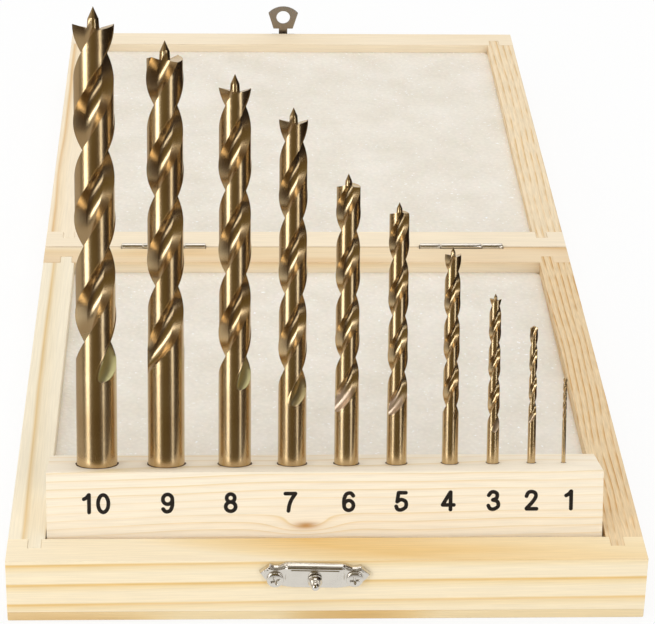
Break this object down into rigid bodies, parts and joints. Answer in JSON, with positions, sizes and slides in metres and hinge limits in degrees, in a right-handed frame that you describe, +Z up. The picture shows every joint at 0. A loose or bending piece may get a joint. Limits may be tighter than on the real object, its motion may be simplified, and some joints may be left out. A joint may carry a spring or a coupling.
{
  "type": "drill bit case",
  "caption": "Hinged wooden case opened flat, foam in both halves, with a tilting wooden block that holds a graded set of twist drills upright.",
  "frame": {"origin": "centre of the underside of the base's bottom panel", "axes": "+X along the row of drills from the thickest to the thinnest, +Y from the base's front wall to the hinges and the lid, +Z up"},
  "size_m": [0.155, 0.3482, 0.1366],
  "materials": {
    "pine": "unfinished pine, planed",
    "pine_panel": "thin pine plywood, planed",
    "block_pine": "unfinished pine, planed, with black printed numbers",
    "foam": "soft white closed-cell foam sheet",
    "cobalt_steel": "bronze heat-tinted high-speed steel, ground",
    "steel_pin": "plain steel",
    "nickel": "nickel plated pressed steel"
  },
  "bodies": {
    "base": {"base_left_wall": "pine", "base_right_wall": "pine", "base_front_wall": "pine", "base_hinge_wall": "pine", "base_bottom_panel": "pine_panel", "base_foam_pad": "foam", "pivot_pin_left": "steel_pin", "pivot_pin_right": "steel_pin", "hinge_left_base_leaf": "nickel", "hinge_right_base_leaf": "nickel", "hinge_left_base_screw_1": "nickel", "hinge_left_base_screw_2": "nickel", "hinge_right_base_screw_1": "nickel", "hinge_right_base_screw_2": "nickel", "catch_plate": "nickel", "catch_stud": "nickel", "catch_screw_left": "nickel", "catch_screw_right": "nickel"},
    "hinge_pins": {"hinge_left_pin": "nickel", "hinge_right_pin": "nickel"},
    "lid": {"lid_left_wall": "pine", "lid_right_wall": "pine", "lid_front_wall": "pine", "lid_hinge_wall": "pine", "lid_top_panel": "pine_panel", "lid_foam_pad": "foam", "hinge_left_lid_leaf": "nickel", "hinge_right_lid_leaf": "nickel", "hinge_left_lid_screw_1": "nickel", "hinge_left_lid_screw_2": "nickel", "hinge_right_lid_screw_1": "nickel", "hinge_right_lid_screw_2": "nickel", "hasp_plate": "nickel", "hasp_pin": "nickel", "hasp_screw_left": "nickel", "hasp_screw_right": "nickel"},
    "hasp": {"hasp_loop": "nickel"},
    "block": {"bit_block": "block_pine"},
    "drill_10mm": {"drill_10mm": "cobalt_steel"},
    "drill_9mm": {"drill_9mm": "cobalt_steel"},
    "drill_8mm": {"drill_8mm": "cobalt_steel"},
    "drill_7mm": {"drill_7mm": "cobalt_steel"},
    "drill_6mm": {"drill_6mm": "cobalt_steel"},
    "drill_5mm": {"drill_5mm": "cobalt_steel"},
    "drill_4mm": {"drill_4mm": "cobalt_steel"},
    "drill_3mm": {"drill_3mm": "cobalt_steel"},
    "drill_2mm": {"drill_2mm": "cobalt_steel"},
    "drill_1mm": {"drill_1mm": "cobalt_steel"}
  },
  "joints": [
    {"name": "lid_lift", "type": "hinge", "parent": "base", "child": "hinge_pins", "pos_m": [0, 0.08525, 0.01715], "axis": [1, 0, 0], "range_deg": [0, 109.5]},
    {"name": "lid_close", "type": "hinge", "parent": "hinge_pins", "child": "lid", "pos_m": [0, 0.08525, 0.01715], "axis": [1, 0, 0], "range_deg": [0, 70.5], "deforming": ["lid_foam_pad"]},
    {"name": "block_fold", "type": "hinge", "parent": "base", "child": "block", "pos_m": [0, -0.0615, 0.0104], "axis": [-1, 0, 0], "range_deg": [0, 73], "deforming": ["base_foam_pad"]},
    {"name": "hasp_swing", "type": "hinge", "parent": "lid", "child": "hasp", "pos_m": [-0.0032, 0.2567, 0.0154], "axis": [1, 0, 0], "range_deg": [-110, 0]},
    {"name": "drill_10mm_pull", "type": "slide", "parent": "block", "child": "drill_10mm", "axis": [0, -0.2924, -0.9563], "range_m": [-0.025, 0]},
    {"name": "drill_9mm_pull", "type": "slide", "parent": "block", "child": "drill_9mm", "axis": [0, -0.2924, -0.9563], "range_m": [-0.025, 0]},
    {"name": "drill_8mm_pull", "type": "slide", "parent": "block", "child": "drill_8mm", "axis": [0, -0.2924, -0.9563], "range_m": [-0.025, 0]},
    {"name": "drill_7mm_pull", "type": "slide", "parent": "block", "child": "drill_7mm", "axis": [0, -0.2924, -0.9563], "range_m": [-0.025, 0]},
    {"name": "drill_6mm_pull", "type": "slide", "parent": "block", "child": "drill_6mm", "axis": [0, -0.2924, -0.9563], "range_m": [-0.025, 0]},
    {"name": "drill_5mm_pull", "type": "slide", "parent": "block", "child": "drill_5mm", "axis": [0, -0.2924, -0.9563], "range_m": [-0.025, 0]},
    {"name": "drill_4mm_pull", "type": "slide", "parent": "block", "child": "drill_4mm", "axis": [0, -0.2924, -0.9563], "range_m": [-0.025, 0]},
    {"name": "drill_3mm_pull", "type": "slide", "parent": "block", "child": "drill_3mm", "axis": [0, -0.2924, -0.9563], "range_m": [-0.0225, 0]},
    {"name": "drill_2mm_pull", "type": "slide", "parent": "block", "child": "drill_2mm", "axis": [0, -0.2924, -0.9563], "range_m": [-0.0185, 0]},
    {"name": "drill_1mm_pull", "type": "slide", "parent": "block", "child": "drill_1mm", "axis": [0, -0.2924, -0.9563], "range_m": [-0.0165, 0]}
  ],
  "couplings": [
    {"joint": "block_fold", "follows": "lid_lift", "ratio": 0.6666}
  ]
}
